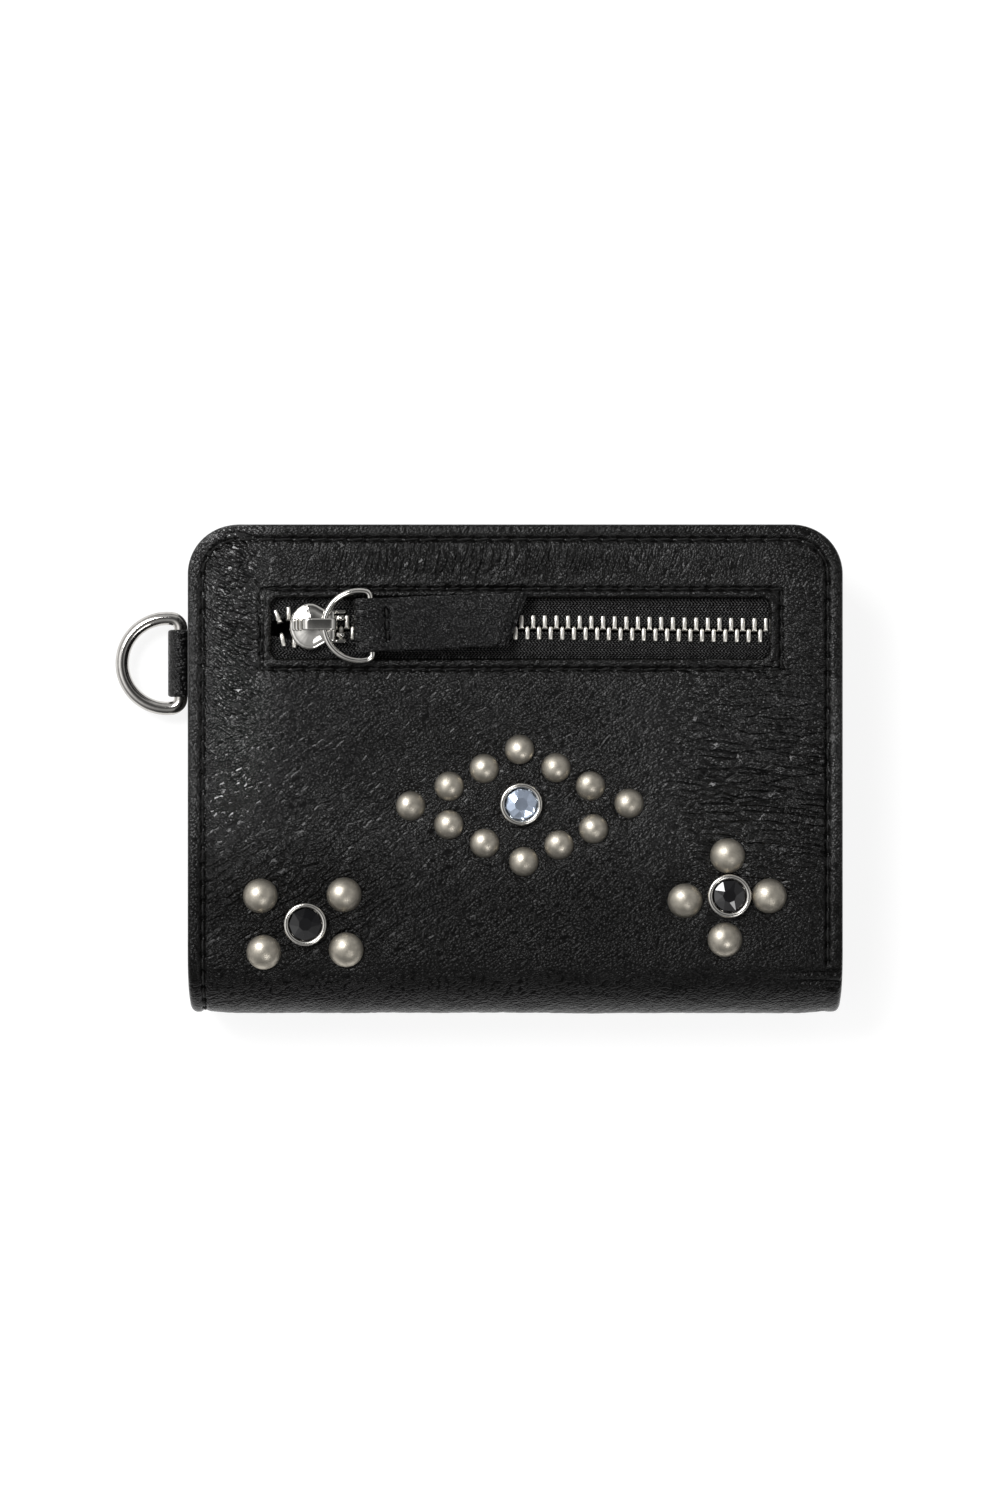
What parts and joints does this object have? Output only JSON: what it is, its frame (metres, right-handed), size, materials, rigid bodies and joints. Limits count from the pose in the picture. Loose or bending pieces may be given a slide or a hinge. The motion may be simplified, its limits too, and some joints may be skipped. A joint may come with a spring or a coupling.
{
  "type": "chain wallet",
  "caption": "Compact leather bifold wallet with a zipped coin pocket on its front, a leather zip pull, dome studs with set stones, and a side ring for a chain.",
  "frame": {"origin": "centre of the flat back face of the closed wallet", "axes": "+X to the right along the width, +Y from the fold to the open edge, +Z out of the studded front; the wallet lies on its back"},
  "size_m": [0.1319, 0.088, 0.0252],
  "materials": {
    "black_leather": "soft fine-grained black leather with a low sheen",
    "lining_fabric": "black twill lining",
    "zip_tape": "woven black zip tape",
    "polished_nickel": "polished nickel",
    "antique_nickel": "antique nickel, satin",
    "crystal": "clear pale blue cut glass with a foiled back",
    "jet": "opaque black cut glass"
  },
  "bodies": {
    "back": {"back_panel": "black_leather", "back_lining": "lining_fabric", "back_hem": "black_leather", "back_inner_panel": "black_leather", "back_card_slot_1": "black_leather", "back_card_slot_2": "black_leather", "back_card_slot_3": "black_leather", "chain_tab": "black_leather"},
    "spine": {"spine_panel": "black_leather", "spine_lining": "lining_fabric"},
    "front": {"front_panel": "black_leather", "zip_tape_upper": "zip_tape", "zip_tape_lower": "zip_tape", "zip_teeth_upper": "polished_nickel", "zip_teeth_lower": "polished_nickel", "zip_top_stops": "polished_nickel", "zip_bottom_stop": "polished_nickel", "coin_pocket_gusset": "black_leather", "coin_pocket_lining": "lining_fabric", "front_inner_panel": "black_leather", "front_card_slot_1": "black_leather", "front_card_slot_2": "black_leather", "front_card_slot_3": "black_leather", "diamond_studs": "antique_nickel", "left_studs": "antique_nickel", "right_studs": "antique_nickel", "crystal_bezel": "polished_nickel", "left_bezel": "polished_nickel", "right_bezel": "polished_nickel", "crystal_stone": "crystal", "left_stone": "jet", "right_stone": "jet"},
    "slider": {"slider_body": "polished_nickel", "slider_bridge": "polished_nickel"},
    "pull_ring": {"pull_ring": "polished_nickel"},
    "pull_tab": {"pull_tab": "black_leather"},
    "chain_ring": {"chain_ring": "polished_nickel"}
  },
  "joints": [
    {"name": "spine_fold", "type": "hinge", "parent": "back", "child": "spine", "pos_m": [0, -0.04164, 0.00236], "axis": [1, 0, 0], "range_deg": [0, 90]},
    {"name": "cover_fold", "type": "hinge", "parent": "spine", "child": "front", "pos_m": [0, -0.04164, 0.01964], "axis": [1, 0, 0], "range_deg": [0, 90]},
    {"name": "zip_slide", "type": "slide", "parent": "front", "child": "slider", "axis": [1, 0, 0], "range_m": [0, 0.0735]},
    {"name": "pull_ring_swing", "type": "hinge", "parent": "slider", "child": "pull_ring", "pos_m": [-0.03445, 0.02545, 0.02375], "axis": [0.0419, -0.9991, 0], "range_deg": [0, 100]},
    {"name": "pull_tab_swing", "type": "hinge", "parent": "pull_ring", "child": "pull_tab", "pos_m": [-0.02601, 0.0258, 0.02375], "axis": [0.0419, -0.9991, 0], "range_deg": [0, 75]},
    {"name": "chain_ring_swing", "type": "hinge", "parent": "back", "child": "chain_ring", "pos_m": [-0.0614, 0.01925, 0.0031], "axis": [0, 1, 0], "range_deg": [-90, 90]}
  ],
  "couplings": [
    {"joint": "cover_fold", "follows": "spine_fold", "ratio": 1}
  ]
}
